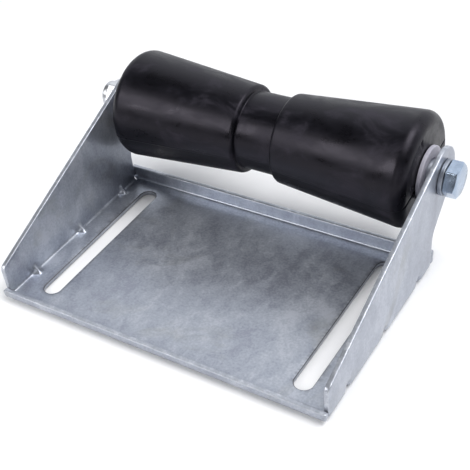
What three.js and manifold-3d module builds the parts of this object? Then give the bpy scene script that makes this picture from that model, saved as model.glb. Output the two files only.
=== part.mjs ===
// Flat-base keel roller: a folded steel bracket that carries a rubber roller on a long bolt.
// Millimetres. +X runs along the roller towards the bolt head, +Y towards the rear flange, +Z up.
// The origin is the middle of the underside of the base.
import * as THREE from 'three';
import { mergeVertices } from 'three/addons/utils/BufferGeometryUtils.js';
import Module from 'manifold-3d';

const wasm = await Module();
wasm.setup();

// Sheet bracket
const SHEET = 3;                    // thickness of the folded sheet
const BEND_IN = 1.5;                // inside radius of every fold
const INSIDE_WIDTH = 215;           // between the inner faces of the two ears
const DEPTH = 140;                  // front lip face to rear flange face
const LIP_HEIGHT = 7.5;             // front lip, from the underside
const FLANGE_HEIGHT = 12;           // rear flange, from the underside
const EAR_FRONT_HEIGHT = 23;        // short upright front edge of an ear, from the underside
const EAR_LIP_GAP = 0.4;            // between an ear's front edge and the lip it is folded up to
const EAR_REAR_SETBACK = 1;         // ear's upright rear edge, in front of the rear flange
const EAR_TOP_RADIUS = 17.3;        // round of the ear about the bolt hole
const EAR_CORNER_RADIUS = 3;        // softened corner at the top of the ear's front edge
const FLANGE_FILLET = 4;            // hollow corner where an ear's rear edge meets the flange
const WAIST_EASE = 5;               // length of the eased bend in an ear's rear edge

// Slots in the base and the pressed darts in the folds
const SLOT_WIDTH = 11.5;
const SLOT_LENGTH = 113.5;
const SLOT_OFFSET = 87.4;           // centre line of a slot, from the middle of the base
const SLOT_CENTRE_Y = 0.7;
const DART_FIRST_Y = -43.4;
const DART_PITCH = 45.8;
const DART_COUNT = 3;
const DART_LEG = 5.4;               // length of a dart up the ear and along the base
const DART_HALF_WIDTH = 3.4;
const DENT_LEG = 7.2;               // length of the hollow behind a dart
const DENT_HALF_WIDTH = 2.8;

// Spindle position
const AXIS_Y = 76.3;
const AXIS_Z = 60.5;
const EAR_HOLE_RADIUS = 6.5;

// Rubber roller: two cones, widest at the outer ends, joined by a neck
const ROLLER_LENGTH = 200;
const ROLLER_RADIUS = 34.2;
const ROLLER_EDGE_RADIUS = 7.3;
const CONE_INNER_RADIUS = 27.4;
const CONE_INNER_EDGE_RADIUS = 2.5;
const NECK_RADIUS = 24;
const NECK_HALF_LENGTH = 12.5;
const ROLLER_BORE_RADIUS = 11.8;

// Bushes, spacer tube and side washers
const BUSH_RADIUS = 11.5;
const BUSH_BORE_RADIUS = 9;
const BUSH_LENGTH = 25;
const TUBE_RADIUS = 8.6;
const TUBE_BORE_RADIUS = 6.4;
const SIDE_WASHER_RADIUS = 16;
const SIDE_WASHER_BORE_RADIUS = 9;
const SIDE_WASHER_THICKNESS = 2.5;

// M12 bolt, washers and lock nut
const BOLT_RADIUS = 6;
const BOLT_LENGTH = 240;
const HEX_ACROSS_FLATS = 19;
const HEAD_HEIGHT = 7.5;
const BOLT_TIP_CHAMFER = 1.2;
const WASHER_RADIUS = 10.5;
const WASHER_BORE_RADIUS = 6.5;
const WASHER_THICKNESS = 2.5;
const NUT_BORE_RADIUS = 6.3;
const NUT_HEX_HEIGHT = 8;
const NUT_HEIGHT = 12;
const NUT_COLLAR_RADIUS = 8.9;
const NUT_RECESS_RADIUS = 8.2;
const INSERT_RADIUS = 7.9;
const INSERT_LENGTH = 2.8;
const HEAD_TURN = 9;                // degrees that the bolt head is turned about its axis
const NUT_TURN = 52;

const CLEAR = 0.3;                  // gap kept between pieces that bear on each other
const ROUND_STEPS = 40;             // sides of a small round piece
const ROLLER_STEPS = 56;
const BEND_STEPS = 3;
const EAR_STEPS = 14;

const earInner = INSIDE_WIDTH / 2;
const earOuter = earInner + SHEET;
const bendOut = BEND_IN + SHEET;
const lipInner = -DEPTH / 2 + SHEET;
const flangeInner = DEPTH / 2 - SHEET;

const finishes = {
  galvanised: { color: 0xa3a8b0, roughness: 0.42, metalness: 0.9 },
  rubber: { color: 0x1f1f22, roughness: 0.5, metalness: 0.0 },
  zincPlated: { color: 0xc3ccd6, roughness: 0.3, metalness: 1.0 },
  nylon: { color: 0xe4e2da, roughness: 0.5, metalness: 0.0 },
};

function toSolid(geometry) {
  const bare = geometry.clone();
  bare.deleteAttribute('normal');
  bare.deleteAttribute('uv');
  const merged = mergeVertices(bare, 1e-4);
  const vertProperties = new Float32Array(merged.attributes.position.array);
  const triVerts = new Uint32Array(merged.index.array);
  return new wasm.Manifold(new wasm.Mesh({ numProp: 3, vertProperties, triVerts }));
}

function toGeometry(solid) {
  const mesh = solid.getMesh();
  const geometry = new THREE.BufferGeometry();
  geometry.setAttribute('position', new THREE.BufferAttribute(mesh.vertProperties, 3));
  geometry.setIndex(new THREE.BufferAttribute(mesh.triVerts, 1));
  return geometry;
}

function piece(name, geometry, finish) {
  const mesh = new THREE.Mesh(geometry, new THREE.MeshStandardMaterial(finishes[finish]));
  mesh.name = name;
  return mesh;
}

// An outline drawn in Y and Z, carried along X from x0 to x1.
function alongX(outline, x0, x1, curveSegments = BEND_STEPS) {
  const settings = { depth: x1 - x0, bevelEnabled: false, curveSegments };
  const geometry = new THREE.ExtrudeGeometry(outline, settings);
  const turn = new THREE.Matrix4().makeBasis(
    new THREE.Vector3(0, 1, 0),
    new THREE.Vector3(0, 0, 1),
    new THREE.Vector3(1, 0, 0),
  );
  return geometry.applyMatrix4(turn).translate(x0, 0, 0);
}

// An outline drawn in X and Z, carried along Y from y0 to y1.
function alongY(outline, y0, y1) {
  const settings = { depth: y1 - y0, bevelEnabled: false, curveSegments: BEND_STEPS };
  const geometry = new THREE.ExtrudeGeometry(outline, settings);
  return geometry.rotateX(Math.PI / 2).translate(0, y1, 0);
}

// A closed profile of (radius, distance along the axis) points, turned about the X axis.
function turned(points, steps) {
  const closed = points[0][0] > 0 ? [...points, points[0]] : points;
  const geometry = new THREE.LatheGeometry(closed.map(([r, s]) => new THREE.Vector2(r, s)), steps);
  return geometry.rotateZ(-Math.PI / 2);
}

function ring(inner, outer, x0, x1, steps = ROUND_STEPS) {
  return turned([[inner, x0], [outer, x0], [outer, x1], [inner, x1]], steps);
}

function rod(radius, x0, x1) {
  return turned([[0, x0], [radius, x0], [radius, x1], [0, x1]], ROUND_STEPS);
}

function arc(centreR, centreS, radius, fromDegrees, toDegrees, steps) {
  const points = [];
  for (let i = 0; i <= steps; i += 1) {
    const a = THREE.MathUtils.degToRad(fromDegrees + ((toDegrees - fromDegrees) * i) / steps);
    points.push([centreR + radius * Math.cos(a), centreS + radius * Math.sin(a)]);
  }
  return points;
}

// Section of the base from front to back, with its front lip and rear flange folded up.
function traySection() {
  const front = -DEPTH / 2;
  const back = DEPTH / 2;
  const outline = new THREE.Shape();
  outline.moveTo(front, LIP_HEIGHT);
  outline.lineTo(front, bendOut);
  outline.absarc(front + bendOut, bendOut, bendOut, Math.PI, Math.PI * 1.5, false);
  outline.lineTo(back - bendOut, 0);
  outline.absarc(back - bendOut, bendOut, bendOut, Math.PI * 1.5, Math.PI * 2, false);
  outline.lineTo(back, FLANGE_HEIGHT);
  outline.lineTo(flangeInner, FLANGE_HEIGHT);
  outline.lineTo(flangeInner, bendOut);
  outline.absarc(back - bendOut, bendOut, BEND_IN, 0, -Math.PI / 2, true);
  outline.lineTo(front + bendOut, SHEET);
  outline.absarc(front + bendOut, bendOut, BEND_IN, Math.PI * 1.5, Math.PI, true);
  outline.lineTo(lipInner, LIP_HEIGHT);
  outline.closePath();
  return outline;
}

// Section across the base with both ears folded up, taller than any part of an ear.
function channelSection(height) {
  const outline = new THREE.Shape();
  const bendX = earOuter - bendOut;
  outline.moveTo(-earOuter, height);
  outline.lineTo(-earOuter, bendOut);
  outline.absarc(-bendX, bendOut, bendOut, Math.PI, Math.PI * 1.5, false);
  outline.lineTo(bendX, 0);
  outline.absarc(bendX, bendOut, bendOut, Math.PI * 1.5, Math.PI * 2, false);
  outline.lineTo(earOuter, height);
  outline.lineTo(earInner, height);
  outline.lineTo(earInner, bendOut);
  outline.absarc(bendX, bendOut, BEND_IN, 0, -Math.PI / 2, true);
  outline.lineTo(-bendX, SHEET);
  outline.absarc(-bendX, bendOut, BEND_IN, Math.PI * 1.5, Math.PI, true);
  outline.lineTo(-earInner, height);
  outline.closePath();
  return outline;
}

// Outer limit of the tray seen from the front: the rounded lower corners of the two folds.
function frontLimit(height) {
  const outline = new THREE.Shape();
  const bendX = earOuter - bendOut;
  outline.moveTo(-earOuter, height);
  outline.lineTo(-earOuter, bendOut);
  outline.absarc(-bendX, bendOut, bendOut, Math.PI, Math.PI * 1.5, false);
  outline.lineTo(bendX, 0);
  outline.absarc(bendX, bendOut, bendOut, Math.PI * 1.5, Math.PI * 2, false);
  outline.lineTo(earOuter, height);
  outline.closePath();
  return outline;
}

// Side view of an ear: short front edge, long sloping edge that runs tangent to the round top,
// then a 45 degree rear edge down to a short upright edge at the flange.
function earOutline() {
  const frontY = lipInner + EAR_LIP_GAP;
  const rearY = flangeInner - EAR_REAR_SETBACK;
  const run = AXIS_Y - frontY;
  const rise = AXIS_Z - EAR_FRONT_HEIGHT;
  const slope = Math.atan2(rise, run) + Math.asin(EAR_TOP_RADIUS / Math.hypot(run, rise));
  const rearSide = EAR_TOP_RADIUS * Math.SQRT1_2;
  const waistZ = AXIS_Z - rearSide - (AXIS_Y + rearSide - rearY);
  const ease = WAIST_EASE * Math.SQRT1_2;
  const outline = new THREE.Shape();
  outline.moveTo(frontY, -1);
  outline.lineTo(flangeInner, -1);
  outline.lineTo(flangeInner, FLANGE_HEIGHT - 0.5);
  outline.lineTo(flangeInner + SHEET * 0.7, FLANGE_HEIGHT - 0.5);
  outline.lineTo(flangeInner + SHEET * 0.7, FLANGE_HEIGHT);
  outline.quadraticCurveTo(rearY, FLANGE_HEIGHT, rearY, FLANGE_HEIGHT + FLANGE_FILLET);
  outline.lineTo(rearY, waistZ - WAIST_EASE);
  outline.quadraticCurveTo(rearY, waistZ, rearY + ease, waistZ + ease);
  outline.absarc(AXIS_Y, AXIS_Z, EAR_TOP_RADIUS, -Math.PI / 4, slope + Math.PI / 2, false);
  const cornerY = frontY + EAR_CORNER_RADIUS * Math.cos(slope);
  const cornerZ = EAR_FRONT_HEIGHT + EAR_CORNER_RADIUS * Math.sin(slope);
  outline.lineTo(cornerY, cornerZ);
  outline.quadraticCurveTo(frontY, EAR_FRONT_HEIGHT, frontY, EAR_FRONT_HEIGHT - EAR_CORNER_RADIUS);
  outline.closePath();
  return outline;
}

function slotCutter(centreX) {
  const half = SLOT_WIDTH / 2;
  const reach = SLOT_LENGTH / 2 - half;
  const outline = new THREE.Shape();
  outline.absarc(centreX, SLOT_CENTRE_Y + reach, half, 0, Math.PI, false);
  outline.absarc(centreX, SLOT_CENTRE_Y - reach, half, Math.PI, Math.PI * 2, false);
  outline.closePath();
  const settings = { depth: SHEET * 3, bevelEnabled: false, curveSegments: 8 };
  return new THREE.ExtrudeGeometry(outline, settings).translate(0, 0, -SHEET);
}

// Four-faced wedge across a fold: its ridge joins a point on the base to a point up the ear.
function foldWedge(side, cornerX, cornerZ, y, leg, halfWidth, sink) {
  const x = side * cornerX;
  const out = side * sink;
  const corners = [
    [x - side * leg, y, cornerZ - sink],
    [x + out, y, cornerZ + leg],
    [x + out, y - halfWidth, cornerZ - sink],
    [x + out, y + halfWidth, cornerZ - sink],
  ];
  const faces = side > 0
    ? [0, 2, 1, 0, 1, 3, 0, 3, 2, 1, 2, 3]
    : [0, 1, 2, 0, 3, 1, 0, 2, 3, 1, 3, 2];
  const geometry = new THREE.BufferGeometry();
  geometry.setAttribute('position', new THREE.Float32BufferAttribute(corners.flat(), 3));
  geometry.setIndex(faces);
  return geometry;
}

function buildBracket() {
  const tall = AXIS_Z + EAR_TOP_RADIUS + 10;
  const rounded = toSolid(alongY(frontLimit(tall), -DEPTH, DEPTH));
  const tray = toSolid(alongX(traySection(), -earOuter, earOuter)).intersect(rounded);
  const channel = toSolid(alongY(channelSection(tall), lipInner + EAR_LIP_GAP, DEPTH));
  const ears = channel.intersect(toSolid(alongX(earOutline(), -DEPTH, DEPTH, EAR_STEPS)));
  let solid = tray.add(ears);
  for (let i = 0; i < DART_COUNT; i += 1) {
    const y = DART_FIRST_Y + i * DART_PITCH;
    for (const side of [-1, 1]) {
      const dent = foldWedge(side, earOuter, 0, y, DENT_LEG, DENT_HALF_WIDTH, 0.5);
      solid = solid.subtract(toSolid(dent));
      const dart = foldWedge(side, earInner, SHEET, y, DART_LEG, DART_HALF_WIDTH, 0.4);
      solid = solid.add(toSolid(dart));
    }
  }
  for (const side of [-1, 1]) {
    solid = solid.subtract(toSolid(slotCutter(side * SLOT_OFFSET)));
  }
  const drill = rod(EAR_HOLE_RADIUS, -DEPTH, DEPTH).translate(0, AXIS_Y, AXIS_Z);
  solid = solid.subtract(toSolid(drill));
  return toGeometry(solid);
}

function buildRoller() {
  const end = ROLLER_LENGTH / 2;
  const fall = ROLLER_RADIUS - CONE_INNER_RADIUS;
  const run = end - ROLLER_EDGE_RADIUS - NECK_HALF_LENGTH;
  const taper = THREE.MathUtils.radToDeg(Math.atan2(fall, run));
  const rim = arc(
    ROLLER_RADIUS - ROLLER_EDGE_RADIUS,
    end - ROLLER_EDGE_RADIUS,
    ROLLER_EDGE_RADIUS,
    -taper,
    90,
    5,
  );
  const shoulder = arc(
    CONE_INNER_RADIUS - CONE_INNER_EDGE_RADIUS,
    NECK_HALF_LENGTH + CONE_INNER_EDGE_RADIUS,
    CONE_INNER_EDGE_RADIUS,
    -90,
    -taper,
    3,
  );
  const right = [[NECK_RADIUS, NECK_HALF_LENGTH], ...shoulder, ...rim, [ROLLER_BORE_RADIUS, end]];
  const left = right.map(([r, s]) => [r, -s]).reverse();
  return turned([...left, ...right], ROLLER_STEPS);
}

function hexPrism(x0, x1, turn) {
  const corner = HEX_ACROSS_FLATS / Math.sqrt(3);
  const outline = new THREE.Shape();
  for (let i = 0; i < 6; i += 1) {
    const a = THREE.MathUtils.degToRad(turn + i * 60);
    outline[i ? 'lineTo' : 'moveTo'](corner * Math.cos(a), corner * Math.sin(a));
  }
  outline.closePath();
  return toSolid(alongX(outline, x0, x1));
}

function buildBolt(headX) {
  const corner = HEX_ACROSS_FLATS / Math.sqrt(3) + 0.1;
  const crown = turned([
    [0, headX],
    [corner, headX],
    [corner, headX + HEAD_HEIGHT - 1],
    [HEX_ACROSS_FLATS * 0.47, headX + HEAD_HEIGHT],
    [0, headX + HEAD_HEIGHT],
  ], ROUND_STEPS);
  const head = hexPrism(headX, headX + HEAD_HEIGHT, HEAD_TURN).intersect(toSolid(crown));
  const tip = headX - BOLT_LENGTH;
  const shank = turned([
    [0, tip],
    [BOLT_RADIUS - BOLT_TIP_CHAMFER, tip],
    [BOLT_RADIUS, tip + BOLT_TIP_CHAMFER],
    [BOLT_RADIUS, headX + 1],
    [0, headX + 1],
  ], ROUND_STEPS);
  return toGeometry(head.add(toSolid(shank)));
}

// Lock nut whose hexagon bears on the washer and whose round collar points outwards along -X.
function buildNut(seatX) {
  const corner = HEX_ACROSS_FLATS / Math.sqrt(3) + 0.1;
  const hexEnd = seatX - NUT_HEX_HEIGHT;
  const end = seatX - NUT_HEIGHT;
  const chamfers = turned([
    [0, hexEnd],
    [HEX_ACROSS_FLATS * 0.47, hexEnd],
    [corner, hexEnd + 1],
    [corner, seatX - 1],
    [HEX_ACROSS_FLATS * 0.49, seatX],
    [0, seatX],
  ], ROUND_STEPS);
  const collar = turned([
    [0, end],
    [NUT_COLLAR_RADIUS - 1, end],
    [NUT_COLLAR_RADIUS, end + 1],
    [NUT_COLLAR_RADIUS, hexEnd + 1],
    [0, hexEnd + 1],
  ], ROUND_STEPS);
  const bore = rod(NUT_BORE_RADIUS, end - 1, seatX + 1);
  const recess = rod(NUT_RECESS_RADIUS, end - 1, end + INSERT_LENGTH + CLEAR);
  const solid = hexPrism(hexEnd, seatX, NUT_TURN)
    .intersect(toSolid(chamfers))
    .add(toSolid(collar))
    .subtract(toSolid(bore))
    .subtract(toSolid(recess));
  return toGeometry(solid);
}

// Everything on the spindle is drawn about the X axis and placed by this group.
function buildSpindle() {
  const group = new THREE.Group();
  group.position.set(0, AXIS_Y, AXIS_Z);
  const end = ROLLER_LENGTH / 2;
  group.add(piece('roller', buildRoller(), 'rubber'));
  const tubeEnd = earInner - CLEAR;
  group.add(piece('spacer_tube', ring(TUBE_BORE_RADIUS, TUBE_RADIUS, -tubeEnd, tubeEnd), 'zincPlated'));
  const washerIn = earOuter + CLEAR;
  const washerOut = washerIn + WASHER_THICKNESS;
  const seat = washerOut + CLEAR;
  for (const [label, side] of [['left', -1], ['right', 1]]) {
    const place = (a, b) => [Math.min(side * a, side * b), Math.max(side * a, side * b)];
    const bush = ring(BUSH_BORE_RADIUS, BUSH_RADIUS, ...place(end - BUSH_LENGTH, end - 0.5));
    group.add(piece(`bush_${label}`, bush, 'nylon'));
    const sideIn = end + CLEAR + 0.1;
    const sideWasher = ring(
      SIDE_WASHER_BORE_RADIUS,
      SIDE_WASHER_RADIUS,
      ...place(sideIn, sideIn + SIDE_WASHER_THICKNESS),
    );
    group.add(piece(`side_washer_${label}`, sideWasher, 'nylon'));
    const name = side > 0 ? 'head_washer' : 'nut_washer';
    const washer = ring(WASHER_BORE_RADIUS, WASHER_RADIUS, ...place(washerIn, washerOut));
    group.add(piece(name, washer, 'zincPlated'));
  }
  group.add(piece('spindle_bolt', buildBolt(seat), 'zincPlated'));
  group.add(piece('lock_nut', buildNut(-seat), 'zincPlated'));
  const insertStart = -seat - NUT_HEIGHT;
  const insert = ring(NUT_BORE_RADIUS, INSERT_RADIUS, insertStart, insertStart + INSERT_LENGTH);
  group.add(piece('lock_nut_insert', insert, 'nylon'));
  return group;
}

const keelRoller = new THREE.Group();
keelRoller.add(piece('bracket', buildBracket(), 'galvanised'));
keelRoller.add(buildSpindle());

export default keelRoller;
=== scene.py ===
import bmesh
import bpy
import numpy as np
from mathutils import Matrix, Vector
from mathutils.geometry import delaunay_2d_cdt


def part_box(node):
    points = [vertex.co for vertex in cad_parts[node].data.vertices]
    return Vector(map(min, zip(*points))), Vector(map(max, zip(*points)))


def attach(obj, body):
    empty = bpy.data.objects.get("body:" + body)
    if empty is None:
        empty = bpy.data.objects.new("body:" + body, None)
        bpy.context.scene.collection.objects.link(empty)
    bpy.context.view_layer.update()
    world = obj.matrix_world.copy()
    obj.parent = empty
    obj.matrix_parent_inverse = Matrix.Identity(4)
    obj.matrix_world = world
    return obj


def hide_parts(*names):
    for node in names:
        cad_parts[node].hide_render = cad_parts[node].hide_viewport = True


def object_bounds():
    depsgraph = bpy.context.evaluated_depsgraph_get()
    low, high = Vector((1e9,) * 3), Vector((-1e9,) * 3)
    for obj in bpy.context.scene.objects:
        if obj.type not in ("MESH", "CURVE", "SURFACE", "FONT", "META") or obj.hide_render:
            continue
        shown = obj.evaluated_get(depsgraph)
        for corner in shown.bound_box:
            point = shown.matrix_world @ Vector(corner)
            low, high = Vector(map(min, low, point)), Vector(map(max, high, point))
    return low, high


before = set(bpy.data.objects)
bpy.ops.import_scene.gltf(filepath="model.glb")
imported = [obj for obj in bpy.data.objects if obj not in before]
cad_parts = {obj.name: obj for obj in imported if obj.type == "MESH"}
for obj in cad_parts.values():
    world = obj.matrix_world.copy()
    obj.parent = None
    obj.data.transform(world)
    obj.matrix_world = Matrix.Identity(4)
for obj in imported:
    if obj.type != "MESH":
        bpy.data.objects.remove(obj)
cad_low, cad_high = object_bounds()
MM = 0.001

# ---------------------------------------------------------------------------------------------
# Bracket. One 3 mm steel blank, punched with two fastening slots and two bolt holes, then folded:
# two ears up at the sides, a low lip at the front and a flange at the back. Three darts are
# pressed into each side fold to stiffen it. Hot-dip galvanised after folding.
# ---------------------------------------------------------------------------------------------
SHEET = 3.0
BEND_OUT = 4.5
BEND_MID = BEND_OUT - SHEET / 2
BEND_LENGTH = BEND_MID * np.pi / 2
EDGE_ROUND = 0.55
LIP_HEIGHT = 7.5
FLANGE_HEIGHT = 12.0
EAR_FRONT_HEIGHT = 23.0
EAR_FRONT_Y = -66.6
EAR_REAR_Y = 66.0
EAR_TOP_RADIUS = 17.3
EAR_CORNER = 3.0
EAR_FOOT = 5.2
EAR_HOLE_RADIUS = 6.5
REAR_STEP = 0.75
WAIST_EASE = 5.0
CORNER_SLIT = 0.3
CORNER_RELIEF = 0.5
CORNER_HAIR = 0.05
STRIP_CORNER = 1.2
SLOT_X = 87.4
SLOT_Y = 0.7
SLOT_HALF_WIDTH = 5.75
SLOT_HALF_LENGTH = 56.75
DART_Y = (-43.4, 2.4, 48.2)
DART_LEG = 5.4
DART_HALF_WIDTH = 2.3
DART_SOFTNESS = 0.5
DART_LEAD_IN = 4.0
STEP = 1.1
COARSE_STEP = 2.5
FINE_BAND = 9.5
DART_BAND = 5.6
NET_GAP = 0.62

bracket_low, bracket_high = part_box("bracket")
roller_low, roller_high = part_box("roller")
HALF_WIDTH = bracket_high.x / MM
HALF_DEPTH = -bracket_low.y / MM
FOLD_X = HALF_WIDTH - BEND_OUT
FOLD_Y = HALF_DEPTH - BEND_OUT
AXIS_Y = (roller_low.y + roller_high.y) / 2 / MM
AXIS_Z = (roller_low.z + roller_high.z) / 2 / MM
BLANK_RISE = FOLD_X + BEND_LENGTH - BEND_OUT


def chain(*points):
    """Points every STEP or less along straight lines from each corner to the next."""
    runs = []
    for a, b in zip(points[:-1], points[1:]):
        a, b = np.array(a, float), np.array(b, float)
        count = max(1, int(np.ceil(np.linalg.norm(b - a) / STEP)))
        runs.append(a + (b - a) * np.linspace(0, 1, count, endpoint=False)[:, None])
    return np.vstack(runs)


def bow(centre, radius, start, stop):
    """Points on a circle about centre from angle start to angle stop, in degrees."""
    count = max(3, int(np.ceil(abs(np.radians(stop - start)) * radius / STEP)))
    a = np.radians(np.linspace(start, stop, count, endpoint=False))
    return np.stack([centre[0] + radius * np.cos(a), centre[1] + radius * np.sin(a)], 1)


def eased(a, b, c, count=6):
    """Quadratic curve from a to c that leaves towards b and arrives from b."""
    t = np.linspace(0, 1, count, endpoint=False)[:, None]
    a, b, c = (np.array(p, float) for p in (a, b, c))
    return a * (1 - t) ** 2 + b * 2 * t * (1 - t) + c * t**2


def side_of_fold(sign):
    """Edge of the lip or flange beside a corner. The strip is as wide as the rounded corner of
    the side fold lets it be: the half width grows with the sine of the bend angle."""
    bend = np.radians(np.linspace(90, 8, 9))
    return np.stack([FOLD_X + BEND_OUT * np.sin(bend), sign * (FOLD_Y + BEND_MID * bend)], 1)


def right_half_outline():
    """Outline of the right half of the flat blank, from the middle of the front lip round to the
    middle of the rear flange. Across is measured from the middle, v from front to back. An ear's
    height becomes a distance across the blank by adding BLANK_RISE."""
    up = BLANK_RISE
    lip = -(FOLD_Y + BEND_LENGTH + LIP_HEIGHT - BEND_OUT)
    flange = FOLD_Y + BEND_LENGTH + FLANGE_HEIGHT - BEND_OUT
    run, rise = AXIS_Y - EAR_FRONT_Y, AXIS_Z - EAR_FRONT_HEIGHT
    slope = np.arctan2(rise, run) + np.arcsin(EAR_TOP_RADIUS / np.hypot(run, rise))
    reach = EAR_TOP_RADIUS * np.sqrt(0.5)
    waist = AXIS_Z - reach - (AXIS_Y + reach - EAR_REAR_Y)
    ease = WAIST_EASE * np.sqrt(0.5)
    top = np.degrees(slope) + 90
    nose = (EAR_FRONT_HEIGHT + EAR_CORNER * np.sin(slope), EAR_FRONT_Y + EAR_CORNER * np.cos(slope))
    brow = (AXIS_Z + EAR_TOP_RADIUS * np.cos(slope), AXIS_Y - EAR_TOP_RADIUS * np.sin(slope))
    round_top = bow((AXIS_Y, AXIS_Z), EAR_TOP_RADIUS, top, -45)
    inner = FOLD_Y - CORNER_SLIT
    foot = up + EAR_FOOT
    corner = STRIP_CORNER
    last = (AXIS_Z - reach, AXIS_Y + reach)
    eye_out = HALF_WIDTH - corner
    parts = [
        chain((0, lip), (eye_out, lip)),
        bow((eye_out, lip + corner), corner, -90, 0),
        chain((HALF_WIDTH, lip + corner), (HALF_WIDTH, -FOLD_Y - BEND_LENGTH)),
        side_of_fold(-1),
        np.array([[FOLD_X + CORNER_HAIR, -FOLD_Y + CORNER_HAIR]]),
        chain((FOLD_X + CORNER_RELIEF, -inner), (foot, -inner), (foot, EAR_FRONT_Y)),
        chain((foot, EAR_FRONT_Y), (up + EAR_FRONT_HEIGHT - EAR_CORNER, EAR_FRONT_Y)),
        eased(
            (up + EAR_FRONT_HEIGHT - EAR_CORNER, EAR_FRONT_Y),
            (up + EAR_FRONT_HEIGHT, EAR_FRONT_Y),
            (up + nose[0], nose[1]),
        ),
        chain((up + nose[0], nose[1]), (up + brow[0], brow[1])),
        np.stack([up + round_top[:, 1], round_top[:, 0]], 1),
        chain((up + last[0], last[1]), (up + waist + ease, EAR_REAR_Y + ease)),
        eased(
            (up + waist + ease, EAR_REAR_Y + ease),
            (up + waist, EAR_REAR_Y),
            (up + waist - WAIST_EASE, EAR_REAR_Y),
        ),
        chain((up + waist - WAIST_EASE, EAR_REAR_Y), (up + FLANGE_HEIGHT + 3, EAR_REAR_Y)),
        eased(
            (up + FLANGE_HEIGHT + 3, EAR_REAR_Y),
            (up + FLANGE_HEIGHT, EAR_REAR_Y),
            (up + FLANGE_HEIGHT - 0.5, EAR_REAR_Y + REAR_STEP),
        ),
        chain((up + FLANGE_HEIGHT - 0.5, EAR_REAR_Y + REAR_STEP), (foot, EAR_REAR_Y + REAR_STEP)),
        chain((foot, EAR_REAR_Y + REAR_STEP), (foot, inner), (FOLD_X + CORNER_RELIEF, inner)),
        np.array([
            [FOLD_X + CORNER_RELIEF, inner],
            [FOLD_X + CORNER_HAIR, FOLD_Y - CORNER_HAIR],
        ]),
        side_of_fold(1)[::-1],
        chain((HALF_WIDTH, FOLD_Y + BEND_LENGTH), (HALF_WIDTH, flange - corner)),
        bow((eye_out, flange - corner), corner, 0, 90),
        chain((eye_out, flange), (0, flange)),
    ]
    return np.vstack(parts)


def slot_outline(x):
    """A long hole: two half circles joined by straight sides, listed clockwise."""
    reach = SLOT_HALF_LENGTH - SLOT_HALF_WIDTH
    r = SLOT_HALF_WIDTH
    loop = [
        bow((x, SLOT_Y + reach), r, 0, 180),
        chain((x - r, SLOT_Y + reach), (x - r, SLOT_Y - reach)),
        bow((x, SLOT_Y - reach), r, 180, 360),
        chain((x + r, SLOT_Y - reach), (x + r, SLOT_Y + reach)),
    ]
    return np.vstack(loop)[::-1]


def without_repeats(loop):
    """The loop with points dropped that lie within a hundredth of a millimetre of the next."""
    gap = np.linalg.norm(loop - np.roll(loop, -1, 0), axis=1)
    return loop[gap > 0.01]


def inset_direction(loop):
    """Outward direction at each point of a closed loop, from the mean of its two sides' normals,
    lengthened at corners so that an inset keeps an even distance from both sides."""
    side = np.roll(loop, -1, 0) - loop
    side /= np.linalg.norm(side, axis=1)[:, None]
    normal = np.stack([side[:, 1], -side[:, 0]], 1)
    mean = normal + np.roll(normal, 1, 0)
    mean /= np.linalg.norm(mean, axis=1)[:, None]
    cosine = np.clip((mean * normal).sum(1), 0.65, 1)
    return mean / cosine[:, None]


def fold_blank(across, v, height):
    """Carries points of the flat blank to the folded bracket, in millimetres. Points past a fold
    line turn through a quarter circle and then run straight up. Height is the distance from the
    middle of the sheet towards the inside of the folds. Near a dart the sheet is then pushed
    inwards at 45 degrees by its distance past the line across the fold that the dart reaches. The
    push starts softly there and fades as a bell curve along the fold."""
    side, reach = np.sign(across), np.abs(across)
    is_strip = (np.abs(v) > FOLD_Y) & (reach < HALF_WIDTH + 0.15)
    is_ear = (reach > FOLD_X) & ~is_strip
    over = np.where(is_strip, np.abs(v) - FOLD_Y, np.where(is_ear, reach - FOLD_X, 0))
    bend = np.clip(over / BEND_MID, 0, np.pi / 2)
    out = (BEND_MID - height) * np.sin(bend)
    z = BEND_OUT - (BEND_MID - height) * np.cos(bend) + np.maximum(over - BEND_LENGTH, 0)
    x = np.where(is_ear, FOLD_X + out, reach)
    y = np.where(is_strip, np.sign(v) * (FOLD_Y + out), v)
    inner_x = np.where(is_ear, FOLD_X + (BEND_MID - SHEET / 2) * np.sin(bend), reach)
    inner_z = z + (SHEET / 2 - height) * np.cos(bend)
    tip = HALF_WIDTH - 2 * SHEET - DART_LEG
    ridge = (inner_x - inner_z - tip) / np.sqrt(2)
    away = np.min([np.abs(v - y0) for y0 in DART_Y], axis=0)
    eased_ridge = 0.5 * (ridge + np.sqrt(ridge**2 + DART_SOFTNESS**2))
    push = np.where(is_strip, 0, eased_ridge * np.exp(-((away / DART_HALF_WIDTH) ** 2)))
    push = push * np.clip((reach - (tip - DART_LEAD_IN)) / DART_LEAD_IN, 0, 1)
    x, z = x - push * np.sqrt(0.5), z + push * np.sqrt(0.5)
    return np.stack([side * x, y, z], -1)


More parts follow.
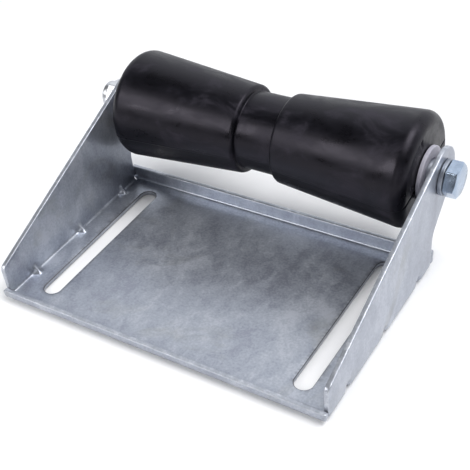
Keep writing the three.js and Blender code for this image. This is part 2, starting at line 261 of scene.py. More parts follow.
def grid_lines():
    """Lines of the net laid over the blank: coarse on the flats, fine at folds and darts."""
    fold = np.linspace(0, BEND_LENGTH, 8)
    ear, strip = FOLD_X + BEND_LENGTH, FOLD_Y + BEND_LENGTH
    near = FOLD_X - FINE_BAND
    across = np.concatenate([
        np.linspace(0, near, 40),
        np.linspace(near, FOLD_X, 13)[1:],
        FOLD_X + fold[1:],
        np.linspace(ear, ear + 9, 12)[1:],
        np.arange(ear + 11.5, BLANK_RISE + AXIS_Z + EAR_TOP_RADIUS, COARSE_STEP),
    ])
    across = np.concatenate([-across[:0:-1], across])
    fine = np.concatenate([y0 + np.linspace(-DART_BAND, DART_BAND, 19) for y0 in DART_Y])
    coarse = np.linspace(-FOLD_Y, FOLD_Y, 54)
    coarse = coarse[np.min([np.abs(coarse - y0) for y0 in DART_Y], axis=0) > DART_BAND + 1.2]
    beyond = np.concatenate([FOLD_Y + fold[1:], strip + np.arange(1.4, 8, 1.6)])
    rear = np.arange(strip + 9.4, AXIS_Y + EAR_TOP_RADIUS, 2.4)
    return across, np.sort(np.concatenate([-beyond, fine, coarse, beyond, rear]))


def inside(points, loops):
    """True for points with an odd number of loop crossings to their right."""
    count = np.zeros(len(points), int)
    for loop in loops:
        a, b = loop[:, None], np.roll(loop, -1, 0)[:, None]
        spans = (a[..., 1] > points[:, 1]) != (b[..., 1] > points[:, 1])
        with np.errstate(divide="ignore", invalid="ignore"):
            slope = (b[..., 0] - a[..., 0]) / (b[..., 1] - a[..., 1])
            at = a[..., 0] + slope * (points[:, 1] - a[..., 1])
        count += (spans & (at > points[:, 0])).sum(0)
    return count % 2 == 1


def distance_to(points, loops):
    """Distance from each point to the nearest loop point."""
    rim = np.vstack(loops)
    near = np.full(len(points), np.inf)
    for part in np.array_split(rim, 16):
        near = np.minimum(near, np.linalg.norm(points[:, None] - part[None], axis=2).min(1))
    return near


def new_piece(name, points, faces, smooth=35, merge=2e-6, cut_edge=None):
    """A mesh object from an array of points in millimetres and arrays of face corners. Doubled
    points are merged, faces turned outwards and edges sharper than the smooth angle kept. A value
    for each point may mark how much of a cut edge it is."""
    mesh = bpy.data.meshes.new(name)
    flat = np.concatenate([f.reshape(-1) for f in faces])
    sizes = np.concatenate([np.full(len(f), f.shape[1]) for f in faces])
    mesh.vertices.add(len(points))
    mesh.vertices.foreach_set("co", (np.asarray(points) * MM).astype(np.float32).ravel())
    mesh.loops.add(len(flat))
    mesh.loops.foreach_set("vertex_index", flat.astype(np.int32))
    mesh.polygons.add(len(sizes))
    starts = np.concatenate([[0], np.cumsum(sizes)[:-1]])
    mesh.polygons.foreach_set("loop_start", starts.astype(np.int32))
    mesh.update(calc_edges=True)
    if cut_edge is not None:
        mark = mesh.attributes.new("cut_edge", "FLOAT", "POINT")
        mark.data.foreach_set("value", cut_edge.astype(np.float32))
    shape = bmesh.new()
    shape.from_mesh(mesh)
    bmesh.ops.remove_doubles(shape, verts=shape.verts, dist=merge)
    bmesh.ops.recalc_face_normals(shape, faces=shape.faces)
    shape.to_mesh(mesh)
    shape.free()
    mesh.validate()
    mesh.polygons.foreach_set("use_smooth", np.ones(len(mesh.polygons), bool))
    mesh.set_sharp_from_angle(angle=np.radians(smooth))
    piece = bpy.data.objects.new(name, mesh)
    bpy.context.scene.collection.objects.link(piece)
    return piece


def fold_bracket():
    """Both skins of the sheet are the same net of triangles over the inset blank, carried by
    fold_blank at plus and minus half the thickness. A rounded rim joins them round every edge.
    The rim is marked above 0 along the outer edge, paler there for zinc beads and a painted
    highlight, and below 0 round the holes, darker there for painted shade in their walls."""
    right = right_half_outline()
    left = np.stack([-right[:, 0], right[:, 1]], 1)[::-1]
    outer = without_repeats(np.vstack([right, left]))
    turn = np.radians(np.linspace(0, 360, 44, endpoint=False))
    hole = EAR_HOLE_RADIUS * np.stack([np.sin(turn), np.cos(turn)], 1)
    loops = [outer]
    for side in (-1, 1):
        loops.append(without_repeats(slot_outline(side * SLOT_X)))
        loops.append(hole + [side * (BLANK_RISE + AXIS_Z), AXIS_Y])
    ways = [inset_direction(loop) for loop in loops]
    inset = [loop - EDGE_ROUND * way for loop, way in zip(loops, ways)]
    across, v = grid_lines()
    net = np.stack(np.meshgrid(across, v), -1).reshape(-1, 2)
    net = net[inside(net, inset)]
    net = net[distance_to(net, inset) > NET_GAP]
    corners = np.vstack(inset + [net])
    edges, start = [], 0
    for loop in inset:
        ring = np.arange(start, start + len(loop))
        edges += np.stack([ring, np.roll(ring, -1)], 1).tolist()
        start += len(loop)
    made = delaunay_2d_cdt([Vector(p) for p in corners.tolist()], edges, [], 0, 1e-5)
    flat = np.array([tuple(p) for p in made[0]])
    triangles = np.array([f for f in made[2] if len(f) == 3])
    middle = flat[triangles].mean(1)
    triangles = triangles[inside(middle, inset)]
    half = SHEET / 2
    points = [fold_blank(flat[:, 0], flat[:, 1], np.full(len(flat), h)) for h in (half, -half)]
    faces3 = [triangles, triangles[:, ::-1] + len(flat)]
    rim = [np.zeros(len(flat) * 2)]
    base = 2 * len(flat)
    faces4 = []
    phase = np.radians([0, 30, 60, 90])
    pull = EDGE_ROUND * (1 - np.sin(phase))
    level = half - EDGE_ROUND * (1 - np.cos(phase))
    pull, level = np.concatenate([pull, pull[::-1]]), np.concatenate([level, -level[::-1]])
    # The outer edge's rim is paler for zinc beads and a painted highlight; the holes' rims are
    # darker for painted shade in their walls.
    bright = np.array([0, 0.7, 1, 1, 1, 1, 0.7, 0])
    painted_hole_shade = -np.array([0.4, 1, 1, 0.2, 0.2, 1, 1, 0.4])
    for k, (loop, way) in enumerate(zip(loops, ways)):
        n = len(loop)
        at = loop[None] - pull[:, None, None] * way[None]
        high = np.repeat(level[:, None], n, 1)
        points.append(fold_blank(at[..., 0], at[..., 1], high).reshape(-1, 3))
        rim.append(np.repeat(painted_hole_shade if k else bright, n))
        i = np.arange(n)[None] + n * np.arange(len(pull) - 1)[:, None]
        j = np.roll(np.arange(n), -1)[None] + n * np.arange(len(pull) - 1)[:, None]
        faces4.append((np.stack([i, j, j + n, i + n], -1) + base).reshape(-1, 4))
        base += n * len(pull)
    return np.vstack(points), faces3 + faces4, np.concatenate(rim)


def linear(code):
    """Linear RGBA of an sRGB hex colour such as "a1b2c3"."""
    part = np.array([int(code[i : i + 2], 16) / 255 for i in (0, 2, 4)])
    part = np.where(part <= 0.04045, part / 12.92, ((part + 0.055) / 1.055) ** 2.4)
    return (*part.tolist(), 1.0)


def add(tree, kind, links=None, **settings):
    """Adds one node. Settings whose name is an input's, with _ for a space, set that input; the
    rest are the node's own properties. Links maps an input's name to the socket that feeds it."""
    node = tree.nodes.new(kind)
    for name, value in settings.items():
        socket = node.inputs.get(name.replace("_", " "))
        if socket is not None and not hasattr(node, name):
            socket.default_value = value
        else:
            setattr(node, name, value)
    for name, source in (links or {}).items():
        tree.links.new(source, node.inputs[name])
    return node


def ramp(tree, factor, *stops):
    """A colour ramp over factor; stops are (position, hex colour)."""
    node = add(tree, "ShaderNodeValToRGB", {"Fac": factor})
    band = node.color_ramp
    while len(band.elements) < len(stops):
        band.elements.new(0.5)
    for element, (at, code) in zip(band.elements, stops):
        element.position = at
        element.color = linear(code)
    return node.outputs["Color"]


def start_material(name):
    """An empty material with its output and its own object coordinates."""
    material = bpy.data.materials.new(name)
    material.use_nodes = True
    tree = material.node_tree
    tree.nodes.clear()
    output = add(tree, "ShaderNodeOutputMaterial")
    place = add(tree, "ShaderNodeTexCoord").outputs["Object"]
    return material, tree, output, place


def galvanised_steel():
    """Hot-dip galvanised steel: a thin skin of zinc that froze as it ran off the sheet. The eye
    sees a satin grey metal with a fine speckle, soft clouds a centimetre across, upright runs on
    the ears and a few brownish stains. The outer cut edges are paler, for zinc beads and a painted
    highlight, and the rims round the slots and bolt holes are darkened with painted shade."""
    material, tree, output, place = start_material("galvanised_steel")
    runs = add(tree, "ShaderNodeMapping", {"Vector": place}, Scale=(1.0, 0.75, 0.4))
    cloud = add(tree, "ShaderNodeTexNoise", {"Vector": runs.outputs[0]}, Scale=110.0, Detail=6.0,
                Roughness=0.66, Distortion=0.5)
    patch = add(tree, "ShaderNodeTexNoise", {"Vector": runs.outputs[0]}, Scale=26.0, Detail=4.0,
                Roughness=0.55, Distortion=1.1)
    speck = add(tree, "ShaderNodeTexNoise", {"Vector": place}, Scale=700.0, Detail=2.0)
    both = add(tree, "ShaderNodeMath", {0: cloud.outputs["Fac"], 1: patch.outputs["Fac"]},
               operation="ADD")
    mixed = add(tree, "ShaderNodeMath", {0: speck.outputs["Fac"], 2: both.outputs[0]},
                operation="MULTIPLY_ADD")
    mixed.inputs[1].default_value = 0.6
    spread = add(tree, "ShaderNodeMapRange", {"Value": mixed.outputs[0]}, From_Min=1.0,
                 From_Max=1.6)
    tone = ramp(tree, spread.outputs[0], (0.1, "9498a4"), (0.4, "a2a7b2"), (0.6, "aaafb9"),
                (0.9, "babec7"))
    stain = add(tree, "ShaderNodeTexNoise", {"Vector": place}, Scale=19.0, Detail=5.0,
                Roughness=0.6, Distortion=1.2)
    seen = add(tree, "ShaderNodeMapRange", {"Value": stain.outputs["Fac"]}, From_Min=0.56,
               From_Max=0.78, To_Min=0.0, To_Max=0.55)
    stained = add(tree, "ShaderNodeMix", {"Factor": seen.outputs[0], "A": tone},
                  data_type="RGBA")
    stained.inputs["B"].default_value = linear("8b8b84")
    edge = add(tree, "ShaderNodeAttribute", attribute_name="cut_edge")
    # Along the outer cut edges the tone turns paler: partly zinc beads, partly a painted highlight
    # where the edge catches the light.
    beads = add(tree, "ShaderNodeTexNoise", {"Vector": place}, Scale=230.0, Detail=5.0,
                Roughness=0.7)
    bead_and_highlight_tone = ramp(tree, beads.outputs["Fac"], (0.34, "9fa3ac"), (0.52, "afb3bc"),
                     (0.70, "cfd2d9"))
    pale = add(tree, "ShaderNodeMix", {"Factor": edge.outputs["Fac"], "B": bead_and_highlight_tone,
                                       "A": stained.outputs["Result"]}, data_type="RGBA")
    # Round the slots and bolt holes the mark is below 0 and the colour turns dark towards 4a4746:
    # painted shade in the hole walls.
    flip = add(tree, "ShaderNodeMath", {0: edge.outputs["Fac"]}, operation="MULTIPLY")
    flip.inputs[1].default_value = -0.85
    rim = add(tree, "ShaderNodeMix", {"Factor": flip.outputs[0], "A": pale.outputs["Result"]},
              data_type="RGBA")
    rim.inputs["B"].default_value = linear("4a4746")
    sheen = add(tree, "ShaderNodeMapRange", {"Value": spread.outputs[0]}, From_Min=0.2,
                From_Max=0.8, To_Min=0.28, To_Max=0.38)
    low = add(tree, "ShaderNodeBump", {"Height": both.outputs[0]}, Strength=0.06,
              Distance=0.0006)
    fine = add(tree, "ShaderNodeBump", {"Height": speck.outputs["Fac"], "Normal": low.outputs[0]},
               Strength=0.22, Distance=0.00015)
    shader = add(tree, "ShaderNodeBsdfPrincipled", {
        "Base Color": rim.outputs["Result"],
        "Roughness": sheen.outputs[0],
        "Normal": fine.outputs[0],
    }, Metallic=0.68)
    tree.links.new(shader.outputs[0], output.inputs["Surface"])
    return material


points, faces, rim = fold_bracket()
bracket = new_piece("galvanised_bracket", points, faces, smooth=40, cut_edge=rim)
bracket.data.materials.append(galvanised_steel())
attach(bracket, "bracket")
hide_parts("bracket")

# ---------------------------------------------------------------------------------------------
# Roller. Black natural rubber moulded in a two-part mould: two cones, widest at the ends, with a
# waist between them that guides the keel. A fine flash line is left where the mould halves met,
# and a vent hole in each end face.
# ---------------------------------------------------------------------------------------------
ROLLER_RADIUS = 34.2
ROLLER_END_ROUND = 7.3
CONE_INNER_RADIUS = 27.4
NECK_RADIUS = 24.0
NECK_HALF = 12.5
ROLLER_BORE = 11.8
SEAM_TURN = 11.0
VENT_TURN = 109.0
VENT_STATION_RADIUS = 25.5
VENT_HALF_WIDTH = 1.2
VENT_DEPTH = 2.0
FLASH_HEIGHT = 0.16
FLASH_HALF_WIDTH = 0.3
SLIT_DEPTH = 0.8
SLIT_HALF_WIDTH = 0.5


def filleted(corners, closed=True):
    """A profile with each corner rounded: corners are (radius, station, rounding, steps), and an
    arc that touches both sides takes the corner's place."""
    count = len(corners)
    rows = []
    for i, (r, s, rounding, steps) in enumerate(corners):
        here = np.array([r, s], float)
        if rounding == 0 or (not closed and i in (0, count - 1)):
            rows.append(here[None])
            continue
        back = np.array(corners[i - 1][:2], float) - here
        on = np.array(corners[(i + 1) % count][:2], float) - here
        back /= np.linalg.norm(back)
        on /= np.linalg.norm(on)
        half = np.arccos(np.clip(back @ on, -1, 1)) / 2
        middle = (back + on) / np.linalg.norm(back + on)
        centre = here + middle * rounding / np.sin(half)
        first = here + back * rounding / np.tan(half) - centre
        last = here + on * rounding / np.tan(half) - centre
        swing = np.pi - 2 * half
        t = np.linspace(0, 1, steps + 1)[:, None]
        arc = (np.sin((1 - t) * swing) * first + np.sin(t * swing) * last) / np.sin(swing)
        rows.append(centre + arc)
    return np.vstack(rows)


def divided(profile, longest, closed=True):
    """The profile with extra points so that no two neighbours are further apart than longest."""
    ends = np.roll(profile, -1, 0) if closed else profile[1:]
    parts = []
    for a, b in zip(profile, ends):
        count = max(1, int(np.ceil(np.linalg.norm(b - a) / longest)))
        parts.append(a + (b - a) * np.linspace(0, 1, count, endpoint=False)[:, None])
    if not closed:
        parts.append(profile[-1:])
    return np.vstack(parts)


def turned(radius, station, turn, closed):
    """Points and faces of a surface round the roller's axis. Radius and station along the axis are
    given for each row of the profile and each angle; closed joins the last row to the first."""
    radius, station, turn = np.broadcast_arrays(radius, station, turn)
    points = np.stack([
        station,
        AXIS_Y + radius * np.cos(turn),
        AXIS_Z + radius * np.sin(turn),
    ], -1)
    rows, count = radius.shape
    first = np.arange(rows if closed else rows - 1)[:, None] * count
    second = (first + count) % (rows * count)
    i = np.arange(count)[None]
    j = np.roll(np.arange(count), -1)[None]
    faces = np.stack([first + i, first + j, second + j, second + i], -1).reshape(-1, 4)
    return points.reshape(-1, 3), [faces]


def mould_roller():
    """A turned profile with three small departures from the round. The distance of a point from
    the plane of the mould's parting line sets a ridge of flash on the body and a fine slit across
    the end faces; the distance from the vent sets a small pit."""
    end = roller_high.x / MM
    slope = (ROLLER_RADIUS - CONE_INNER_RADIUS) / (end - ROLLER_END_ROUND - NECK_HALF)
    widest = CONE_INNER_RADIUS + slope * (end - NECK_HALF)
    right = [
        (NECK_RADIUS, NECK_HALF, 0.9, 4),
        (CONE_INNER_RADIUS, NECK_HALF, 2.5, 8),
        (widest, end, ROLLER_END_ROUND, 18),
        (ROLLER_BORE, end, 0.9, 4),
    ]
    left = [(r, -s, rounding, steps) for r, s, rounding, steps in right[::-1]]
    profile = divided(filleted(left + right), 2.2)
    near = np.array([0, 0.35, 0.7, 1.1, 1.7, 2.6, 4.0])
    fan = np.concatenate([-near[:0:-1], near])
    even = np.arange(0, 360, 2.25)
    special = np.concatenate([SEAM_TURN + fan, SEAM_TURN + 180 + fan, VENT_TURN + fan])
    apart = np.abs((even[:, None] - special[None] + 180) % 360 - 180).min(1)
    turn = np.radians(np.sort(np.concatenate([even[apart > 1.2], special])))[None]
    radius, station = profile[:, :1], profile[:, 1:]
    off_seam = radius * np.abs(np.sin(turn - np.radians(SEAM_TURN)))
    on_end = np.clip((np.abs(station) - end + 1.2) / 1.2, 0, 1)
    on_end = on_end * np.clip((radius - ROLLER_BORE - 1) / 1.5, 0, 1)
    outside = np.clip((radius - 20) / 3, 0, 1) * (1 - on_end)
    flash = FLASH_HEIGHT * np.exp(-((off_seam / FLASH_HALF_WIDTH) ** 2)) * outside
    slit = SLIT_DEPTH * np.exp(-((off_seam / SLIT_HALF_WIDTH) ** 2)) * on_end
    dy = radius * np.cos(turn) - VENT_STATION_RADIUS * np.cos(np.radians(VENT_TURN))
    dz = radius * np.sin(turn) - VENT_STATION_RADIUS * np.sin(np.radians(VENT_TURN))
    pit = VENT_DEPTH * np.exp(-((dy**2 + dz**2) / VENT_HALF_WIDTH**2) ** 2) * on_end
    return turned(radius + flash, station - np.sign(station) * (slit + pit), turn, True)


def moulded_rubber():
    """Black moulded rubber: carbon-filled, smooth from a polished mould. The eye sees a soft sheen
    with a faint blue cast, dulled in cloudy patches by bloom and handling dust, and a few fine
    scuffs along the roller."""
    material, tree, output, place = start_material("moulded_rubber")
    drawn = add(tree, "ShaderNodeMapping", {"Vector": place}, Scale=(0.6, 1.0, 1.0))
    dust = add(tree, "ShaderNodeTexNoise", {"Vector": drawn.outputs[0]}, Scale=60.0, Detail=7.0,
               Roughness=0.64, Distortion=0.7)
    colour = ramp(tree, dust.outputs["Fac"], (0.36, "08080b"), (0.52, "0d0d12"), (0.68, "28262d"))
    along = add(tree, "ShaderNodeMapping", {"Vector": place}, Scale=(0.12, 1.0, 1.0))
    scuff = add(tree, "ShaderNodeTexNoise", {"Vector": along.outputs[0]}, Scale=310.0, Detail=4.0)
    sheen = add(tree, "ShaderNodeMapRange", {"Value": dust.outputs["Fac"]}, From_Min=0.35,
                From_Max=0.66, To_Min=0.24, To_Max=0.54)
    skin = add(tree, "ShaderNodeTexNoise", {"Vector": place}, Scale=900.0, Detail=2.0)
    low = add(tree, "ShaderNodeBump", {"Height": scuff.outputs["Fac"]}, Strength=0.12,
              Distance=0.0002)
    fine = add(tree, "ShaderNodeBump", {"Height": skin.outputs["Fac"], "Normal": low.outputs[0]},
               Strength=0.1, Distance=0.0001)
    shader = add(tree, "ShaderNodeBsdfPrincipled", {
        "Base Color": colour,
        "Roughness": sheen.outputs[0],
        "Normal": fine.outputs[0],
    }, IOR=1.34, Metallic=0.0, Specular_Tint=linear("f4ecff"))
    tree.links.new(shader.outputs[0], output.inputs["Surface"])
    return material


points, faces = mould_roller()
roller = new_piece("rubber_roller", points, faces, smooth=50)
roller.data.materials.append(moulded_rubber())
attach(roller, "roller")
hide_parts("roller")

# ---------------------------------------------------------------------------------------------
# Bushes. A natural nylon sleeve pressed into each end of the roller's bore. It runs on the spacer
# tube, and its edges are rounded by the mould.
# ---------------------------------------------------------------------------------------------
BUSH_BORE = 9.0
BUSH_RADIUS = 11.5
MOULDED_EDGE = 0.4
ROUND = np.radians(np.linspace(0, 360, 72, endpoint=False))[None]


def ring(node, name, inner, outer, rounding):
    """A turned ring with rounded edges that fills its CAD node from end to end."""
    low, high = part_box(node)
    a, b = low.x / MM, high.x / MM
    profile = filleted([(r, s, rounding, 4) for r, s in ((inner, a), (outer, a), (outer, b),
                                                         (inner, b))])
    profile = divided(profile, 6.0)
    points, faces = turned(profile[:, :1], profile[:, 1:], ROUND, True)
    return new_piece(name, points, faces, smooth=40)


def natural_nylon():
    """Natural nylon: off-white, slightly milky, with a dull moulded skin and faint cloudiness."""
    material, tree, output, place = start_material("natural_nylon")
    cloud = add(tree, "ShaderNodeTexNoise", {"Vector": place}, Scale=160.0, Detail=3.0)
    colour = ramp(tree, cloud.outputs["Fac"], (0.35, "d9d6cb"), (0.7, "ebe8df"))
    grain = add(tree, "ShaderNodeBump", {"Height": cloud.outputs["Fac"]}, Strength=0.1,
                Distance=0.0001)
    shader = add(tree, "ShaderNodeBsdfPrincipled", {
        "Base Color": colour,
        "Normal": grain.outputs[0],
    }, Roughness=0.45, IOR=1.53)
    tree.links.new(shader.outputs[0], output.inputs["Surface"])
    return material


nylon = natural_nylon()
for side in ("left", "right"):
    bush = ring("bush_" + side, "nylon_bush_" + side, BUSH_BORE, BUSH_RADIUS, MOULDED_EDGE)
    bush.data.materials.append(nylon)
    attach(bush, "roller")
    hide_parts("bush_" + side)

# ---------------------------------------------------------------------------------------------
# Spacer tube. A length of drawn steel tube, zinc plated, clamped between the ears by the bolt. It
# keeps the ears apart, and the roller turns on it.
# ---------------------------------------------------------------------------------------------
TUBE_BORE = 6.4
TUBE_RADIUS = 8.6
TUBE_EDGE = 0.3


def zinc_plate(name, dull, tint):
    """Bright zinc plate on turned or stamped steel. The eye sees a hard bluish silver with faint
    cloudy passivation and very fine tool marks that catch the light."""
    material, tree, output, place = start_material(name)
    cloud = add(tree, "ShaderNodeTexNoise", {"Vector": place}, Scale=130.0, Detail=5.0,
                Roughness=0.6)
    colour = ramp(tree, cloud.outputs["Fac"], (0.36, tint[0]), (0.68, tint[1]))
    sheen = add(tree, "ShaderNodeMapRange", {"Value": cloud.outputs["Fac"]}, From_Min=0.35,
                From_Max=0.7, To_Min=dull, To_Max=dull + 0.12)
    marks = add(tree, "ShaderNodeTexNoise", {"Vector": place}, Scale=1500.0, Detail=2.0)
    cut = add(tree, "ShaderNodeBump", {"Height": marks.outputs["Fac"]}, Strength=0.15,
              Distance=0.00005)
    shader = add(tree, "ShaderNodeBsdfPrincipled", {
        "Base Color": colour,
        "Roughness": sheen.outputs[0],
        "Normal": cut.outputs[0],
    }, Metallic=1.0)
    tree.links.new(shader.outputs[0], output.inputs["Surface"])
    return material


tube_zinc = zinc_plate("zinc_plated_tube", 0.34, ("a4a9b2", "c2c6cf"))
tube = ring("spacer_tube", "spacer_tube_drawn", TUBE_BORE, TUBE_RADIUS, TUBE_EDGE)
tube.data.materials.append(tube_zinc)
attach(tube, "bracket")
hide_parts("spacer_tube")

# ---------------------------------------------------------------------------------------------
# Side washers. A wide flat washer of grey nylon lies loose on the tube at each end of the roller,
# so that the rubber doesn't rub on the ear. It is moulded, with soft edges and a matt skin.
# ---------------------------------------------------------------------------------------------
SIDE_WASHER_BORE = 9.0
SIDE_WASHER_RADIUS = 16.0


def grey_nylon():
    """Grey nylon: filled and moulded, so the eye sees a matt lilac grey with faint flow marks
    round the ring and a little dirt."""
    material, tree, output, place = start_material("grey_nylon")
    flow = add(tree, "ShaderNodeTexNoise", {"Vector": place}, Scale=140.0, Detail=5.0,
               Roughness=0.6)
    colour = ramp(tree, flow.outputs["Fac"], (0.35, "aeacb9"), (0.7, "c6c4d0"))
    grain = add(tree, "ShaderNodeBump", {"Height": flow.outputs["Fac"]}, Strength=0.15,
                Distance=0.0001)
    shader = add(tree, "ShaderNodeBsdfPrincipled", {
        "Base Color": colour,
        "Normal": grain.outputs[0],
    }, Roughness=0.5, IOR=1.53)
    tree.links.new(shader.outputs[0], output.inputs["Surface"])
    return material


washer_nylon = grey_nylon()
for side in ("left", "right"):
    washer = ring("side_washer_" + side, "side_washer_moulded_" + side, SIDE_WASHER_BORE,
                  SIDE_WASHER_RADIUS, MOULDED_EDGE)
    washer.data.materials.append(washer_nylon)
    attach(washer, "side_washer_" + side)
    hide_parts("side_washer_" + side)

# ---------------------------------------------------------------------------------------------
# Bolt washers. One small M12 washer under the bolt head and one under the nut, stamped and zinc
# plated, clamped against the outside of the ears.
# ---------------------------------------------------------------------------------------------
BOLT_WASHER_BORE = 6.5
BOLT_WASHER_RADIUS = 10.5
STAMPED_EDGE = 0.4

stamped_zinc = zinc_plate("zinc_plated_stamping", 0.42, ("8f959f", "adb2bb"))
for node in ("head_washer", "nut_washer"):
    washer = ring(node, node + "_stamped", BOLT_WASHER_BORE, BOLT_WASHER_RADIUS, STAMPED_EDGE)
    washer.data.materials.append(stamped_zinc)
    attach(washer, "bracket")
    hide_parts(node)

# ---------------------------------------------------------------------------------------------
# Spindle bolt. M12 hexagon bolt, cold forged and zinc plated. The head's corners are chamfered, a
# round bearing face is left under it, and the last 36 mm of the shank has a rolled coarse thread.
# ---------------------------------------------------------------------------------------------
ACROSS_FLATS = 19.0
HEAD_HEIGHT = 7.5
HEAD_TURN = 39.0
HEX_CORNER_EASE = 0.12
SHANK = 6.0
THREAD_PITCH = 1.75
THREAD_LENGTH = 36.0
THREAD_DEPTH = 0.95
CHAMFER = np.tan(np.radians(28))
HEX_STEPS = np.array([-29.0, -27.5, -24.0, -16.0, -8.0, 0.0, 8.0, 16.0, 24.0, 27.5, 29.0, 30.0])


def hexagon(turn_degrees):
    """Angles round a hexagon, close together at its corners, and its radius at each: half the
    width across flats over the cosine of the angle from the nearest flat's middle, with the
    corners eased off by a tenth of a millimetre."""
    from_flat = np.tile(HEX_STEPS, 6)
    turn = np.radians(np.repeat(np.arange(6) * 60.0, len(HEX_STEPS)) + from_flat + turn_degrees)
    radius = ACROSS_FLATS / 2 / np.cos(np.radians(from_flat))
    limit = ACROSS_FLATS / np.sqrt(3) - HEX_CORNER_EASE
    return turn[None], np.minimum(radius, limit)[None]


def forge_bolt():
    """Rows of radius against station, from the middle of the head to the tip. Only the head's
    sides follow the hexagon, and each side stops where it meets the chamfer's cone. On the thread
    the radius falls and rises once a pitch and once a turn, which makes a helix."""
    low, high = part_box("spindle_bolt")
    top, tip = high.x / MM, low.x / MM
    seat = top - HEAD_HEIGHT
    turn, hexed = hexagon(HEAD_TURN)
    even = np.ones_like(hexed)
    crown = ACROSS_FLATS * 0.465
    cone = top - (hexed - crown) * CHAMFER
    rows = [
        (0 * even, top * even),
        (crown * 0.55 * even, top * even),
        (crown * even, top * even),
        (crown + (hexed - crown) * 0.5, (top + cone) / 2),
        (hexed - 0.12, cone + 0.03),
        (hexed, cone - 0.15),
        (hexed, (cone + seat) / 2),
        (hexed, (seat + 0.45) * even),
        (hexed - 0.15, (seat + 0.3) * even),
        (9.0 * even, (seat + 0.3) * even),
        (8.9 * even, seat * even),
        ((SHANK + 0.5) * even, seat * even),
        (SHANK * even, (seat - 0.5) * even),
    ]
    rows += [(SHANK * even, x * even) for x in np.linspace(seat - 1, tip + THREAD_LENGTH, 12)]
    along = np.arange(tip + THREAD_LENGTH - 0.2, tip + 1.2, -0.22)
    wave = 0.5 - 0.5 * np.cos(2 * np.pi * along[:, None] / THREAD_PITCH + turn)
    fade = np.clip((tip + THREAD_LENGTH - along[:, None]) / 2.5, 0, 1)
    core = SHANK - THREAD_DEPTH * wave**1.4 * fade
    end = SHANK - THREAD_DEPTH
    radius = np.vstack([r for r, _ in rows] + [core, end * even, (end - 0.5) * even, 0 * even])
    station = np.vstack([s for _, s in rows] + [along[:, None] * even, (tip + 0.6) * even,
                                                tip * even, tip * even])
    return turned(radius, station, turn, False)


bolt_zinc = zinc_plate("zinc_plated_bolt", 0.18, ("9dabbd", "b8c6d9"))
points, faces = forge_bolt()
bolt = new_piece("spindle_bolt_forged", points, faces, smooth=32, merge=1e-6)
bolt.data.materials.append(bolt_zinc)
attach(bolt, "bracket")
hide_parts("spindle_bolt")

# ---------------------------------------------------------------------------------------------
# Lock nut and its insert. M12 hexagon nut with a round collar, crimped over a nylon ring that
# grips the thread. The nut bears on its washer and the collar points outwards.
# ---------------------------------------------------------------------------------------------
NUT_HEX_HEIGHT = 8.0
NUT_TURN = 22.0
NUT_BORE = 6.3
COLLAR = 8.9
COLLAR_ROUND = 1.1
RECESS = 8.2
INSERT_RADIUS = 7.9
INSERT_EDGE = 0.3


def turn_nut():
    """A closed ring of rows: up the seat and chamfer, along the hexagon's sides, down the outer
    chamfer to the collar, over its rounded lip, into the recess and back through the bore."""
    low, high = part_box("lock_nut")
    seat, end = high.x / MM, low.x / MM
    hex_end = seat - NUT_HEX_HEIGHT
    turn, hexed = hexagon(NUT_TURN)
    even = np.ones_like(hexed)
    face = ACROSS_FLATS * 0.475
    near = seat - (hexed - face) * CHAMFER
    far = hex_end + (hexed - face) * CHAMFER
    rows = [
        ((NUT_BORE + 0.6) * even, seat * even),
        (face * even, seat * even),
        (hexed - 0.12, near + 0.03),
        (hexed, near - 0.15),
        (hexed, (near + far) / 2),
        (hexed, far + 0.15),
        (hexed - 0.12, far - 0.03),
        (face * even, hex_end * even),
        ((COLLAR + 0.35) * even, (hex_end - 0.05) * even),
        (COLLAR * even, (hex_end - 0.4) * even),
    ]
    for a in np.radians(np.linspace(0, 100, 7)):
        lip = COLLAR - COLLAR_ROUND + COLLAR_ROUND * np.cos(a)
        rows.append((lip * even, (end + COLLAR_ROUND - COLLAR_ROUND * np.sin(a)) * even))
    rows += [
        ((RECESS - 0.9) * even, (end + 0.1) * even),
        ((RECESS - 0.9) * even, (end + 0.35) * even),
        (RECESS * even, (end + 0.6) * even),
        (RECESS * even, (end + 3.1) * even),
        (NUT_BORE * even, (end + 3.1) * even),
        (NUT_BORE * even, (seat - 0.6) * even),
    ]
    return turned(np.vstack([r for r, _ in rows]), np.vstack([s for _, s in rows]), turn, True)


points, faces = turn_nut()
nut = new_piece("lock_nut_turned", points, faces, smooth=32, merge=1e-6)
nut.data.materials.append(zinc_plate("zinc_plated_nut", 0.30, ("b9bbbf", "dadbde")))
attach(nut, "bracket")
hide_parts("lock_nut")

insert = ring("lock_nut_insert", "lock_nut_nylon_ring", NUT_BORE, INSERT_RADIUS, INSERT_EDGE)
insert.data.materials.append(nylon)
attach(insert, "bracket")
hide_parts("lock_nut_insert")

# ---------------------------------------------------------------------------------------------
# Studio. The roller stands on a plain pale floor before a white wall that fades towards the front.
# Three soft white boxes light it: one ahead on the left that draws the band of sheen along the
# rubber, a weak one ahead on the right and a large one overhead.
# ---------------------------------------------------------------------------------------------
FLOOR_HALF = 3.0
FLOOR_LINES = 9
FLOOR_GAP = 0.3
lines = np.linspace(-FLOOR_HALF, FLOOR_HALF, FLOOR_LINES) / MM
floor_level = np.full((FLOOR_LINES, FLOOR_LINES), cad_low.z / MM - FLOOR_GAP)
paper_sheet = np.stack([*np.meshgrid(lines, lines), floor_level], -1)
first = np.arange(FLOOR_LINES**2).reshape(FLOOR_LINES, -1)[:-1, :-1].reshape(-1)
squares = np.stack([first, first + 1, first + FLOOR_LINES + 1, first + FLOOR_LINES], -1)
floor = new_piece("studio_floor", paper_sheet.reshape(-1, 3), [squares])
material, tree, output, place = start_material("matt_white_paper")
fibre = add(tree, "ShaderNodeTexNoise", {"Vector": place}, Scale=60.0, Detail=4.0)
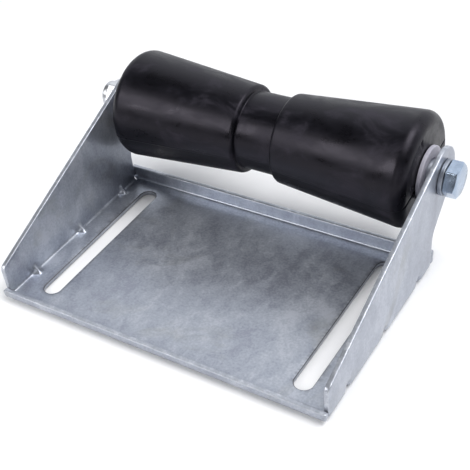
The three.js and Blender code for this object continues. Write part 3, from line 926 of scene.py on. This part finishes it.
white = ramp(tree, fibre.outputs["Fac"], (0.3, "f4f4f5"), (0.7, "f7f7f8"))
paper = add(tree, "ShaderNodeBsdfPrincipled", {"Base Color": white}, Roughness=0.9)
tree.links.new(paper.outputs[0], output.inputs["Surface"])
floor.data.materials.append(material)

world = bpy.data.worlds.new("studio_air")
bpy.context.scene.world = world
world.use_nodes = True
air = world.node_tree
way = add(air, "ShaderNodeSeparateXYZ", {0: add(air, "ShaderNodeTexCoord").outputs["Generated"]})
wall = add(air, "ShaderNodeMapRange", {"Value": way.outputs["Y"]}, From_Min=0.0, From_Max=0.54,
           To_Min=0.08, To_Max=1.18, interpolation_type="SMOOTHSTEP")
sky = air.nodes["Background"]
sky.inputs["Color"].default_value = linear("f2f5fa")
air.links.new(wall.outputs[0], sky.inputs["Strength"])

centre = (cad_low + cad_high) / 2


def soft_box(name, way, distance, width, height, power):
    """A rectangular area light on the line from the object's middle along way, facing it."""
    lamp = bpy.data.lights.new(name, "AREA")
    lamp.shape = "RECTANGLE"
    lamp.size, lamp.size_y = width, height
    lamp.energy = power
    stand = bpy.data.objects.new(name, lamp)
    way = Vector(way).normalized()
    stand.location = centre + way * distance
    stand.rotation_euler = way.to_track_quat("Z", "Y").to_euler()
    bpy.context.scene.collection.objects.link(stand)


soft_box("box_front_left", (-0.47, -0.72, 0.51), 1.1, 0.8, 0.5, 6.4)
soft_box("box_front_right", (0.36, -0.90, 0.30), 1.2, 0.5, 0.5, 1.3)
soft_box("box_overhead", (0.45, 0.1, 1.0), 1.9, 1.2, 1.2, 30.0)

# ---------------------------------------------------------------------------------------------
# Camera. It stands to the right of the front, above the roller, and leans a little to one side.
# ---------------------------------------------------------------------------------------------
AZIMUTH, ELEVATION, LEAN = np.radians([37.239, 42.544, -7.768])
lens = bpy.data.cameras.new("studio_camera")
lens.sensor_width = 36.0
lens.lens = 71.844
lens.shift_x, lens.shift_y = 0.040, 0.147
lens.clip_start, lens.clip_end = 0.01, 20.0
camera = bpy.data.objects.new("studio_camera", lens)
bpy.context.scene.collection.objects.link(camera)
ahead = Vector((
    -np.sin(AZIMUTH) * np.cos(ELEVATION),
    np.cos(AZIMUTH) * np.cos(ELEVATION),
    -np.sin(ELEVATION),
))
level = Vector((np.cos(AZIMUTH), np.sin(AZIMUTH), 0))
up = level.cross(ahead)
right = level * np.cos(LEAN) + up * np.sin(LEAN)
top = up * np.cos(LEAN) - level * np.sin(LEAN)
spot = Vector((0.25883, -0.34359, 0.37692))
camera.matrix_world = Matrix.Translation(spot) @ Matrix((right, top, -ahead)).transposed().to_4x4()
bpy.context.scene.camera = camera
bpy.context.scene.view_settings.view_transform = "Standard"
